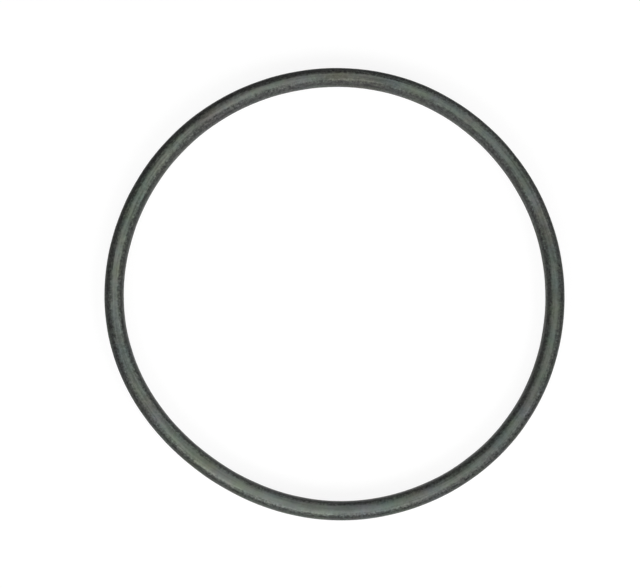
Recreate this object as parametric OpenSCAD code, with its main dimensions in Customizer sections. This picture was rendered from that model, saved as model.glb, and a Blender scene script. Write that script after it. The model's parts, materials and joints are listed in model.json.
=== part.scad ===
// A rubber O-ring: a sealing ring with a round section, moulded in one piece.
// The round section is turned about Z. Two mould halves meet at mid-height, so a fine trimmed line
// stands proud of the section on the bore and on the rim, with a flat land along its crest.
// The origin is the ring's centre, halfway up its height, and Z is the ring's axis.

/* [Ring] */
// Inside diameter of the free ring, measured across the round section
inside_d = 78.97; // [40:0.01:160]
// Diameter of the round rubber section
section_d = 3.53; // [1.78:0.01:6.99]

/* [Mould line] */
// Height of the trimmed line above the round section
line_height = 0.06; // [0.02:0.01:0.12]
// Width of the flat land along the line's crest
line_land = 0.14; // [0.06:0.01:0.3]
// Draft of the line's flanks, which widen towards the rubber
line_draft = 30; // [0:1:40]

/* [Hidden] */

section_r = section_d / 2;
// Radius of the circle that the middle of the section runs along
pitch_r = inside_d / 2 + section_r;

// The line's root lies this far under the round surface, so that it merges with the section
line_root_depth = line_height;
line_root = line_land + 2 * (line_height + line_root_depth) * tan(line_draft);

rubber_grey = [0.32, 0.34, 0.32];

// Flat outline of the mould line at the section's right-hand side, with the section's middle at 0, 0
module line_profile() {
    crest_x = section_r + line_height;
    root_x = section_r - line_root_depth;
    polygon([
        [root_x, -line_root / 2],
        [crest_x, -line_land / 2],
        [crest_x, line_land / 2],
        [root_x, line_root / 2],
    ]);
}

// Flat outline of the whole section: the round rubber, with the line on the rim side and the bore side
module section_profile() {
    circle(r = section_r, $fn = 96);
    line_profile();
    rotate(180) line_profile();
}

module o_ring() {
    color(rubber_grey)
        rotate_extrude($fn = 240)
            translate([pitch_r, 0]) section_profile();
}

o_ring();
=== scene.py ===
# Looks for the rubber O-ring: the moulded ring itself, its rubber, the floor that it lies on, the lamps
# and the camera. Everything is in metres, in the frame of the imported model, with the ring flat about Z.

import json
import math

import bpy
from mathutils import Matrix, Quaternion, Vector, noise

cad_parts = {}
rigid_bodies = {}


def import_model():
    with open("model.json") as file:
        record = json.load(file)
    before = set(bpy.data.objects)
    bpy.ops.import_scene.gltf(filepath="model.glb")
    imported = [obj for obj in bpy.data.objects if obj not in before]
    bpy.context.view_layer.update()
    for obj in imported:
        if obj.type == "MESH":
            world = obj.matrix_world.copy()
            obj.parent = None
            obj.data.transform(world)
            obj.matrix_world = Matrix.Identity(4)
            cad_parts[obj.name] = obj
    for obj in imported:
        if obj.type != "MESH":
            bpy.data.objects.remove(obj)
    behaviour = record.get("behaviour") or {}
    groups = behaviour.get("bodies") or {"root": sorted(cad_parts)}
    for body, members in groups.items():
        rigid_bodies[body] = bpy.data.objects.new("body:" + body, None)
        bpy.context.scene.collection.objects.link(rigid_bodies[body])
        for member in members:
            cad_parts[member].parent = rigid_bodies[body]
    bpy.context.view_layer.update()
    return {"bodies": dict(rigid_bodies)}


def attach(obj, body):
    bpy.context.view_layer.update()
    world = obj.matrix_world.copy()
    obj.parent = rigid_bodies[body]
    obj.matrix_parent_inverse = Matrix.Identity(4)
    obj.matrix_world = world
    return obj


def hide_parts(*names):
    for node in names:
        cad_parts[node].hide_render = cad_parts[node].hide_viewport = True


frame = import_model()

# Sizes of the ring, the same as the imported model's
INSIDE_D = 0.07897
SECTION_D = 0.00353
SECTION_R = SECTION_D / 2
PITCH_R = INSIDE_D / 2 + SECTION_R
LINE_HEIGHT = 0.00006
LINE_LAND = 0.00014
LINE_DRAFT = math.radians(30)

# The crest of the mould line is rounded over this share of its land
LINE_ROUNDING = 0.16
# The round section starts this far above the foot of the line's flank, as an angle
FOOT_GAP = 0.055

# The mould line is trimmed a little unevenly. The share of its height that is left wanders about its
# mean with a slow and a fast noise. Each has a size, as waves over the ring's radius, and a strength.
# For the rim the noises are read some way above the ring's plane and for the bore as far below it,
# in radii, and the fast noise is shifted, so that it doesn't follow the slow one.
TRIM_MEAN = 0.88
TRIM_LEAST = 0.35
TRIM_MOST = 1.25
TRIM_SLOW_SIZE = 9.0
TRIM_SLOW = 0.45
TRIM_FAST_SIZE = 120.0
TRIM_FAST = 0.22
TRIM_SIDES = 0.35
TRIM_SHIFT = Vector((0, 0, 7.3))

# The free ring lies a little out of round, by about 1 per cent of its radius at most. Each row is
# one wave round the ring: how many lobes it has, how far they stand out, and the angle of the first.
LAY = (
    (2, 0.000255, math.radians(-12.2)),
    (3, 0.000242, math.radians(-55.1)),
    (4, 0.000063, math.radians(7.2)),
    (5, 0.000058, math.radians(-21.2)),
    (6, 0.000045, math.radians(17.8)),
)

# The mesh: steps round the ring, and steps over each half of the round section
STEPS_ROUND = 900
STEPS_ARC = 28
UV_NAME = "round_and_across"
LINE_ATTRIBUTE = "mould_line"

# The rubber's grey by the height on the section, from 0 at the mould line to 1 at the top and bottom.
# It is darkest beside the band, a painted shade, and palest along the middle of that band, a painted
# sheen, the same on top and bottom.
RUBBER_GREYS_PAINTED_SHEEN_AND_SHADE = (
    (0.34, (0.0425, 0.0488, 0.0418)),
    (0.64, (0.0134, 0.0153, 0.0131)),
    (0.84, (0.0268, 0.0307, 0.0263)),
    (0.93, (0.0690, 0.0792, 0.0678)),
    (1.00, (0.1100, 0.1263, 0.1081)),
)
# How far red, green and blue each wander by themselves
CAST_SPREAD = (0.72, 0.48, 0.84)

# Sizes of the noises, as waves to a metre. The streaks come from a noise over two circles instead,
# one turn round the ring and one across the section, and these are the circles' radii in waves.
CLOUD_SCALE = 170.0
CAST_SCALE = 150.0
GRAIN_SCALE = 2000.0
SKIN_SCALE = 5200.0
STREAKS_ROUND = 4.0
STREAKS_ACROSS = 4.6
# Most of a noise lies between the first two values, and its middle part between the second two
MOST_NOISE = (0.2, 0.8)
MIDDLE_NOISE = (0.25, 0.75)

# Heights on the section between which its look changes: the calm side by the mould line reaches up
# to the first, and the flank with its painted shade and the pale band of painted sheen are fully
# themselves at the other two
SIDE = 0.25
FLANK = 0.60
BAND = 0.92

# The edges of the pale band of painted sheen move up and down the section by this much with the grain and
# the streaks
FRAY_BY_GRAIN = 0.21
FRAY_BY_STREAKS = 0.075
# On top of the section only a share of the grain's part is left, falling between these heights
FRAY_LEFT = 0.12
FRAY_HEIGHTS = (0.80, 1.0)

# How strongly the grain shows on the flanks and on the band, the share of it that is left beside the
# mould line, and how strongly the streaks show on the flanks and on the band
GRAIN_ON_FLANK = 8.5
GRAIN_ON_BAND = 1.0
GRAIN_BY_LINE = 0.28
STREAKS_ON_FLANK = 0.3
STREAKS_ON_BAND = 1.1
# The clouds lighten and darken by this share at most, and no dot is darker than the least paleness
CLOUDS = 0.17
LEAST_PALE = 0.1

# One stretch of the ring, where the lamps light it most, has painted sheen. It is paler and smoother, its
# pale band is broader, and the flank on its rim is paler again by the last share, a painted highlight.
# Reaches are given as the cosine of the angle from the middle, first where the change starts, then where
# it is full.
SHEEN_STRETCH_ANGLE = math.radians(-103)
SHEEN_STRETCH_REACH = (0.72, 0.99)
SHEEN_STRETCH_PALER = 1.20
SHEEN_STRETCH_BROADER = 0.078
SHEEN_STRETCH_SMOOTHER = 0.6
SHEEN_STRETCH_RIM_PALER = 0.2

# Round another point the band is paler and the flanks are darker, and opposite it the other way
# about, painted sheen and painted shade that follow the lamps round the ring. The one turns into the
# other between these heights on the section.
PALE_ANGLE = math.radians(140)
PALE_BAND = 0.20
PALE_FLANK = -0.08
PALE_HEIGHTS = (0.80, 0.98)

# Along another stretch the flank on the rim is darker, a painted shade on the side turned from the lamps.
# The flank's reach is given as the cosine of the angle across the section, which is 1 at the rim's middle
# and 0 on top.
DARK_ANGLE = math.radians(128)
DARK_REACH = (0.62, 0.97)
DARK_SHARE = 0.45
RIM_FLANK = (0.30, 0.65)

# Roughness where the streaks are dark and where they are pale, and what is added to it by the dark
# dots of the grain, on the rim's side and on the mould line
ROUGH_DARK = 0.55
ROUGH_PALE = 0.45
DOTS_DULLER = 0.15
RIM_DULLER = 0.29
RIM_DULL_REACH = (0.50, 0.77)
LINE_DULLER = 0.15
RUBBER_SPECULAR = 0.4
RUBBER_IOR = 1.5

# Depth of the fine relief in metres, the grain's share in it, and its strength on the band and on the
# flanks, where it is full once the grain shows this strongly
RELIEF_DEPTH = 0.00014
GRAIN_SHARE = 0.7
RELIEF_ON_BAND = 0.6
RELIEF_ON_FLANK = 1.8
RELIEF_FULL = 8.0

# The floor's half width, the grey that the lamps light, and the glow that makes it up to white
FLOOR_HALF = 3.0
FLOOR_GREY = 0.15
FLOOR_GLOW = 0.88

# Light of the room, and the heights above the horizon, as the sine of the angle, between which what
# mirrors the room sees it go from white to that level
ROOM = 0.08
HORIZON = (0.10, 0.26)

# Lamps: name, azimuth, elevation, breadth and level, all at the same distance from the ring
LAMP_DISTANCE = 0.9
LAMPS = (
    ("overhead", 0, 88, 0.16, 0.09),
    ("front", 0, 30, 0.45, 0.39),
    ("right", 45, 30, 0.45, 0.57),
    ("left", 315, 30, 0.45, 0.50),
    ("back", 135, 30, 0.45, 0.25),
)

# The camera's place over the ring. It leans from straight above towards the bottom of the picture and
# a little to the left, and is turned about its own line of sight so that X stays to the right. Its
# lens and sensor are in millimetres.
CAMERA_AZIMUTH = -22.0
CAMERA_ELEVATION = 82.0
CAMERA_DISTANCE = 0.95
CAMERA_LENS = 284.13
CAMERA_SENSOR = 36.0
CAMERA_TARGET = Vector((-0.003083, -0.000221, 0.0))


# The ring's mesh


def lay_offset(angle):
    """How far the middle of the rubber lies outside its true circle at this angle."""
    return sum(height * math.cos(lobes * (angle - first)) for lobes, height, first in LAY)


def lay_slope(angle):
    """The change of that offset with the angle."""
    return sum(-lobes * height * math.sin(lobes * (angle - first)) for lobes, height, first in LAY)


def line_points():
    """Half of the mould line's outline on the rim side, from its middle up to its foot, as rows of
    (outward, up, line), where line is 1 on the crest and falls towards the round rubber. Also the
    angle above the middle at which the flank meets the round section."""
    crest = SECTION_R + LINE_HEIGHT
    half_land = LINE_LAND / 2
    corner = LINE_LAND * LINE_ROUNDING
    root = math.asin((half_land + LINE_HEIGHT * math.tan(LINE_DRAFT)) / SECTION_R)
    foot = SECTION_R * math.cos(root)
    points = [
        # the land and its rounded corner
        (crest, 0.0, 1.0),
        (crest, half_land - corner, 1.0),
        (crest - corner * 0.25, half_land - corner * 0.2, 1.0),
        (crest - corner * 0.8, half_land + corner * 0.45, 0.8),
        # the flank
        (foot + LINE_HEIGHT * 0.3, half_land + LINE_HEIGHT * 0.45, 0.4),
        (foot, SECTION_R * math.sin(root) + LINE_HEIGHT * 0.15, 0.15),
    ]
    return points, root


def section_points():
    """The section's outline, counterclockwise from its outermost middle, as rows of
    (outward, up, line), where line is 1 on the crest of the mould line and 0 on the round rubber."""
    quarter, root = line_points()
    start = root + FOOT_GAP
    steps = STEPS_ARC // 2
    for k in range(steps + 1):
        a = start + (math.pi / 2 - start) * k / steps
        quarter.append((SECTION_R * math.cos(a), SECTION_R * math.sin(a), 0.0))
    upper = quarter + [(-x, z, line) for x, z, line in reversed(quarter[:-1])]
    lower = [(x, -z, line) for x, z, line in reversed(upper[1:-1])]
    return upper + lower


def trim(angle, side):
    """How much of the mould line the trimming left at this angle, as a share of its height. Side is
    1 on the rim and -1 on the bore."""
    place = Vector((math.cos(angle), math.sin(angle), TRIM_SIDES * side))
    slow = noise.noise(place * TRIM_SLOW_SIZE)
    fast = noise.noise(place * TRIM_FAST_SIZE + TRIM_SHIFT)
    return max(TRIM_LEAST, min(TRIM_MOST, TRIM_MEAN + TRIM_SLOW * slow + TRIM_FAST * fast))


def section_at(angle, outline):
    """The points of the section at this angle round the ring, with its mould line trimmed."""
    radius = PITCH_R + lay_offset(angle)
    # the section stands square to the line that it follows
    turn = math.atan2(lay_slope(angle), radius)
    out = Vector((math.cos(angle - turn), math.sin(angle - turn), 0.0))
    middle = Vector((math.cos(angle), math.sin(angle), 0.0)) * radius
    left = {1: trim(angle, 1), -1: trim(angle, -1)}
    points = []
    for x, z, line in outline:
        if line > 0:
            side = 1 if x > 0 else -1
            proud = max(0.0, math.hypot(x, z) - SECTION_R)
            x = x - side * proud * (1 - left[side])
        points.append(middle + out * x + Vector((0, 0, z)))
    return points


def make_ring():
    """One closed mesh of quads, with U running round the ring and V round its section."""
    outline = section_points()
    across = len(outline)
    lengths = [0.0]
    for (x0, z0, _), (x1, z1, _) in zip(outline, outline[1:] + outline[:1]):
        lengths.append(lengths[-1] + math.hypot(x1 - x0, z1 - z0))
    verts = []
    for i in range(STEPS_ROUND):
        verts += section_at(2 * math.pi * i / STEPS_ROUND, outline)
    faces = []
    uvs = []
    for i in range(STEPS_ROUND):
        here = i * across
        ahead = (i + 1) % STEPS_ROUND * across
        u0, u1 = i / STEPS_ROUND, (i + 1) / STEPS_ROUND
        for k in range(across):
            up = (k + 1) % across
            faces.append((here + k, ahead + k, ahead + up, here + up))
            v0, v1 = lengths[k] / lengths[-1], lengths[k + 1] / lengths[-1]
            uvs += [(u0, v0), (u1, v0), (u1, v1), (u0, v1)]
    mesh = bpy.data.meshes.new("o_ring_rubber")
    mesh.from_pydata(verts, [], faces)
    layer = mesh.uv_layers.new(name=UV_NAME)
    for loop, uv in zip(layer.data, uvs):
        loop.uv = uv
    share = mesh.attributes.new(LINE_ATTRIBUTE, "FLOAT", "POINT")
    share.data.foreach_set("value", [line for _, _, line in outline] * STEPS_ROUND)
    for poly in mesh.polygons:
        poly.use_smooth = True
    mesh.validate()
    ring = bpy.data.objects.new("o_ring_rubber", mesh)
    bpy.context.collection.objects.link(ring)
    return ring


# Materials


class Nodes:
    """A short way to write a node tree: each call adds a node and links or sets its inputs."""

    def __init__(self, tree):
        self.tree = tree
        tree.nodes.clear()

    def feed(self, socket, value):
        if isinstance(value, bpy.types.NodeSocket):
            self.tree.links.new(value, socket)
        else:
            socket.default_value = value

    def add(self, kind, inputs=(), **settings):
        node = self.tree.nodes.new(kind)
        for name, value in settings.items():
            setattr(node, name, value)
        for name, value in dict(inputs).items():
            self.feed(node.inputs[name], value)
        return node

    def math(self, operation, *values):
        node = self.add("ShaderNodeMath", operation=operation)
        for socket, value in zip(node.inputs, values):
            self.feed(socket, value)
        return node.outputs[0]

    def plus(self, a, b):
        return self.math("ADD", a, b)

    def minus(self, a, b):
        return self.math("SUBTRACT", a, b)

    def times(self, a, b):
        return self.math("MULTIPLY", a, b)

    def vector(self, operation, *values):
        node = self.add("ShaderNodeVectorMath", operation=operation)
        for socket, value in zip(node.inputs, values):
            self.feed(socket, value)
        return node.outputs["Vector"]

    def join(self, x, y, z):
        return self.add("ShaderNodeCombineXYZ", {"X": x, "Y": y, "Z": z}).outputs["Vector"]

    def split(self, vector):
        return self.add("ShaderNodeSeparateXYZ", {"Vector": vector}).outputs

    def cloudy(self, vector, scale, detail=3.0, rough=0.6, w=None):
        """A noise about 0.5. It has a fourth dimension where w is given."""
        inputs = {"Vector": vector, "Scale": scale, "Detail": detail, "Roughness": rough}
        if w is None:
            return self.add("ShaderNodeTexNoise", inputs, noise_dimensions="3D").outputs
        inputs["W"] = w
        return self.add("ShaderNodeTexNoise", inputs, noise_dimensions="4D").outputs

    def ramp(self, fac, stops):
        node = self.add("ShaderNodeValToRGB", {"Fac": fac})
        points = node.color_ramp.elements
        while len(points) < len(stops):
            points.new(0.5)
        for point, (place, colour) in zip(points, stops):
            point.position = place
            point.color = (*colour, 1.0)
        return node.outputs["Color"]

    def span(self, value, low, high, to_low, to_high):
        """What goes from to_low to to_high as the value goes from low to high, and no further."""
        node = self.add(
            "ShaderNodeMapRange",
            {"Value": value, "From Min": low, "From Max": high, "To Min": to_low, "To Max": to_high},
        )
        return node.outputs["Result"]


def near(n, turn, angle, reach, most=1.0):
    """What grows from 0 to most as an angle round the ring comes near the given one. Reach holds the
    cosines of the angle between them where it starts and where it is full."""
    return n.span(n.math("COSINE", n.minus(turn, angle)), *reach, 0.0, most)


def streak_noise(n, round_turn, across_turn):
    """Streaks along the ring, from a noise over a pair of circles, so that it meets itself after a
    full turn either way. It changes slowly round the ring and quickly across the section."""
    place = n.join(
        n.times(n.math("COSINE", round_turn), STREAKS_ROUND),
        n.times(n.math("SINE", round_turn), STREAKS_ROUND),
        n.times(n.math("COSINE", across_turn), STREAKS_ACROSS),
    )
    w = n.times(n.math("SINE", across_turn), STREAKS_ACROSS)
    return n.cloudy(place, 1.0, w=w)["Fac"]


def frayed_crown(n, place, grain, streaks, painted_sheen_stretch):
    """How near the top or the bottom of the section a point is, from 0 at the mould line to 1. The
    grain and the streaks fray it, and it is more along the stretch of painted sheen, where the pale band
    is broader."""
    crown = n.math("DIVIDE", n.math("ABSOLUTE", n.split(place)["Z"]), SECTION_R)
    fray = n.span(grain, *MOST_NOISE, -FRAY_BY_GRAIN, FRAY_BY_GRAIN)
    fray = n.times(fray, n.span(crown, *FRAY_HEIGHTS, 1.0, FRAY_LEFT))
    crown = n.plus(crown, n.span(streaks, *MOST_NOISE, -FRAY_BY_STREAKS, FRAY_BY_STREAKS))
    crown = n.plus(crown, fray)
    # along the stretch of painted sheen the pale band is broader
    return n.plus(crown, n.times(painted_sheen_stretch, SHEEN_STRETCH_BROADER))


def painted_sheen_and_shade(n, crown, painted_sheen_stretch, round_turn, across_turn):
    """How much paler or darker the painted sheen and painted shade make the rubber at each place round
    the ring.
    """
    # painted sheen on the band and painted shade on the flanks round one point, the other way about
    # opposite
    side = n.math("COSINE", n.minus(round_turn, PALE_ANGLE))
    side = n.times(side, n.span(crown, *PALE_HEIGHTS, PALE_FLANK, PALE_BAND))
    # painted shade on the rim's flank along one stretch
    dark = near(n, round_turn, DARK_ANGLE, DARK_REACH, DARK_SHARE)
    dark = n.minus(dark, n.times(painted_sheen_stretch, SHEEN_STRETCH_RIM_PALER))
    dark = n.times(dark, n.span(n.math("COSINE", across_turn), *RIM_FLANK, 0.0, 1.0))
    pale = n.times(n.span(painted_sheen_stretch, 0.0, 1.0, 1.0, SHEEN_STRETCH_PALER), n.plus(side, 1.0))
    return n.times(pale, n.minus(1.0, dark))


def rubber_material():
    """Dark, nearly neutral grey rubber with a faint green cast and a soft sheen. It is painted palest
    along the top and the bottom of the section, a painted sheen, and darkest beside that band, a painted
    shade."""
    mat = bpy.data.materials.new("moulded_rubber")
    mat.use_nodes = True
    n = Nodes(mat.node_tree)
    place = n.add("ShaderNodeTexCoord").outputs["Object"]
    uv = n.split(n.add("ShaderNodeUVMap", uv_map=UV_NAME).outputs["UV"])
    # the angles round the ring and across the section, which is 0 at the rim's middle
    round_turn = n.times(uv["X"], 2 * math.pi)
    across_turn = n.times(uv["Y"], 2 * math.pi)

    streaks = streak_noise(n, round_turn, across_turn)
    clouds = n.cloudy(place, CLOUD_SCALE)["Fac"]
    grain = n.cloudy(place, GRAIN_SCALE, rough=0.75)["Fac"]
    skin = n.cloudy(place, SKIN_SCALE, rough=0.65)["Fac"]
    # the stretch of painted sheen, paler where the lamps light the ring most
    painted_sheen_stretch = near(n, round_turn, SHEEN_STRETCH_ANGLE, SHEEN_STRETCH_REACH)
    crown = frayed_crown(n, place, grain, streaks, painted_sheen_stretch)

    # the grey wanders a little in each channel by itself, so its cast does too
    wander = n.cloudy(place, CAST_SCALE, detail=4.0, rough=0.7)["Color"]
    cast = n.vector("MULTIPLY_ADD", wander, CAST_SPREAD, [1 - spread / 2 for spread in CAST_SPREAD])
    # the grey by height carries a painted sheen along the top and bottom and painted shade on the flanks
    tinted = n.vector("MULTIPLY", n.ramp(crown, RUBBER_GREYS_PAINTED_SHEEN_AND_SHADE), cast)

    # cloudy all over, grainy on the flanks, and smoother on the crown, where lines run along it
    grain_depth = n.span(crown, FLANK, BAND, GRAIN_ON_FLANK, GRAIN_ON_BAND)
    grain_depth = n.times(grain_depth, n.span(crown, SIDE, FLANK, GRAIN_BY_LINE, 1.0))
    # the grain is calmer along the stretch of painted sheen
    grain_depth = n.times(grain_depth, n.span(painted_sheen_stretch, 0.0, 1.0, 1.0, SHEEN_STRETCH_SMOOTHER))
    streak_depth = n.span(crown, FLANK, BAND, STREAKS_ON_FLANK, STREAKS_ON_BAND)
    patches = n.times(n.minus(grain, 0.5), grain_depth)
    patches = n.plus(patches, n.times(n.minus(streaks, 0.5), streak_depth))
    patches = n.plus(patches, n.span(clouds, *MIDDLE_NOISE, 1 - CLOUDS, 1 + CLOUDS))
    patches = n.math("MAXIMUM", patches, LEAST_PALE)
    # painted sheen and painted shade that change round the ring
    patches = n.times(patches, painted_sheen_and_shade(n, crown, painted_sheen_stretch, round_turn, across_turn))
    colour = n.vector("MULTIPLY", tinted, n.join(patches, patches, patches))

    # the dark dots, the rim's side and the trimmed mould line are duller than the rest of the skin
    dots = n.times(n.minus(0.5, grain), grain_depth)
    on_line = n.add("ShaderNodeAttribute", attribute_name=LINE_ATTRIBUTE).outputs["Fac"]
    rough = n.span(streaks, *MIDDLE_NOISE, ROUGH_DARK, ROUGH_PALE)
    rough = n.plus(rough, n.times(dots, DOTS_DULLER))
    rough = n.plus(rough, n.span(n.math("COSINE", across_turn), *RIM_DULL_REACH, 0.0, RIM_DULLER))
    rough = n.plus(rough, n.times(on_line, LINE_DULLER))

    # the relief follows the grain, and is deepest on the flanks
    relief = n.plus(n.times(grain, GRAIN_SHARE), n.times(skin, 1 - GRAIN_SHARE))
    strength = n.span(grain_depth, GRAIN_ON_BAND, RELIEF_FULL, RELIEF_ON_BAND, RELIEF_ON_FLANK)
    relief = n.times(relief, strength)
    bump = n.add("ShaderNodeBump", {"Strength": 1.0, "Distance": RELIEF_DEPTH, "Height": relief})
    shader = n.add(
        "ShaderNodeBsdfPrincipled",
        {
            "Base Color": colour,
            "Roughness": rough,
            "Specular IOR Level": RUBBER_SPECULAR,
            "IOR": RUBBER_IOR,
            "Normal": bump.outputs["Normal"],
        },
    )
    n.add("ShaderNodeOutputMaterial", {"Surface": shader.outputs["BSDF"]})
    return mat


def floor_material():
    """A white floor: lit by the lamps, so that it keeps the ring's shadow, and made up to white
    for the camera and for what mirrors it."""
    mat = bpy.data.materials.new("white_floor")
    mat.use_nodes = True
    n = Nodes(mat.node_tree)
    path = n.add("ShaderNodeLightPath").outputs
    seen = n.math("MAXIMUM", path["Is Camera Ray"], path["Is Glossy Ray"])
    seen = n.math("MAXIMUM", seen, path["Is Transmission Ray"])
    lit = n.add("ShaderNodeBsdfDiffuse", {"Color": (FLOOR_GREY, FLOOR_GREY, FLOOR_GREY, 1.0)})
    glow = n.add(
        "ShaderNodeEmission",
        {"Color": (1.0, 1.0, 1.0, 1.0), "Strength": n.times(seen, FLOOR_GLOW)},
    )
    both = n.add("ShaderNodeAddShader")
    n.feed(both.inputs[0], lit.outputs[0])
    n.feed(both.inputs[1], glow.outputs[0])
    n.add("ShaderNodeOutputMaterial", {"Surface": both.outputs[0]})
    return mat


# The studio


def make_floor():
    """A wide flat floor at the height of the ring's underside."""
    z = -SECTION_R
    mesh = bpy.data.meshes.new("floor")
    corners = [(x * FLOOR_HALF, y * FLOOR_HALF, z) for x, y in ((-1, -1), (1, -1), (1, 1), (-1, 1))]
    mesh.from_pydata(corners, [], [(0, 1, 2, 3)])
    floor = bpy.data.objects.new("floor", mesh)
    bpy.context.collection.objects.link(floor)
    mesh.materials.append(floor_material())


def direction(azimuth, elevation):
    """From the ring towards a place round it. Azimuth 0 is the viewer's side and 90 the right."""
    a, e = math.radians(azimuth), math.radians(elevation)
    return Vector((math.sin(a) * math.cos(e), -math.cos(a) * math.cos(e), math.sin(e)))


def make_lamp(name, azimuth, elevation, breadth, level):
    """A round soft lamp that faces the ring. Level is how brightly it alone lights a white face
    turned to it, where 1 renders white."""
    data = bpy.data.lights.new(name, "AREA")
    data.shape = "DISK"
    data.size = breadth
    # the share of a white face's sky that the disc fills, straight in front of it
    radius = breadth / 2
    share = radius**2 / (radius**2 + LAMP_DISTANCE**2)
    data.energy = level / share * math.pi**2 * radius**2
    lamp = bpy.data.objects.new(name, data)
    lamp.location = direction(azimuth, elevation) * LAMP_DISTANCE
    lamp.rotation_mode = "QUATERNION"
    lamp.rotation_quaternion = (-lamp.location).to_track_quat("-Z", "Y")
    bpy.context.collection.objects.link(lamp)


def make_world():
    """A dim room for the light, and white where the camera, or what mirrors it, looks past the floor."""
    world = bpy.data.worlds.new("studio")
    world.use_nodes = True
    bpy.context.scene.world = world
    n = Nodes(world.node_tree)
    path = n.add("ShaderNodeLightPath").outputs
    seen = n.math("MAXIMUM", path["Is Camera Ray"], path["Is Transmission Ray"])
    height = n.split(n.add("ShaderNodeTexCoord").outputs["Generated"])["Z"]
    mirrored = n.times(path["Is Glossy Ray"], n.span(height, *HORIZON, 1.0, ROOM))
    strength = n.math("MAXIMUM", n.math("MAXIMUM", seen, mirrored), ROOM)
    sky = n.add("ShaderNodeBackground", {"Color": (1.0, 1.0, 1.0, 1.0), "Strength": strength})
    n.add("ShaderNodeOutputWorld", {"Surface": sky.outputs[0]})


def make_camera():
    data = bpy.data.cameras.new("camera")
    data.sensor_fit = "HORIZONTAL"
    data.sensor_width = CAMERA_SENSOR
    data.lens = CAMERA_LENS
    data.clip_start = 0.05
    data.clip_end = 20.0
    camera = bpy.data.objects.new("camera", data)
    back = direction(CAMERA_AZIMUTH, CAMERA_ELEVATION)
    camera.location = CAMERA_TARGET + back * CAMERA_DISTANCE
    camera.rotation_mode = "QUATERNION"
    upright = (-back).to_track_quat("-Z", "Y")
    camera.rotation_quaternion = upright @ Quaternion((0, 0, 1), -math.radians(CAMERA_AZIMUTH))
    bpy.context.collection.objects.link(camera)
    bpy.context.scene.camera = camera


ring = make_ring()
ring.data.materials.append(rubber_material())
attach(ring, next(iter(frame["bodies"])))
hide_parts("o_ring")

make_floor()
make_world()
for lamp in LAMPS:
    make_lamp(*lamp)
make_camera()

bpy.context.scene.view_settings.view_transform = "Standard"
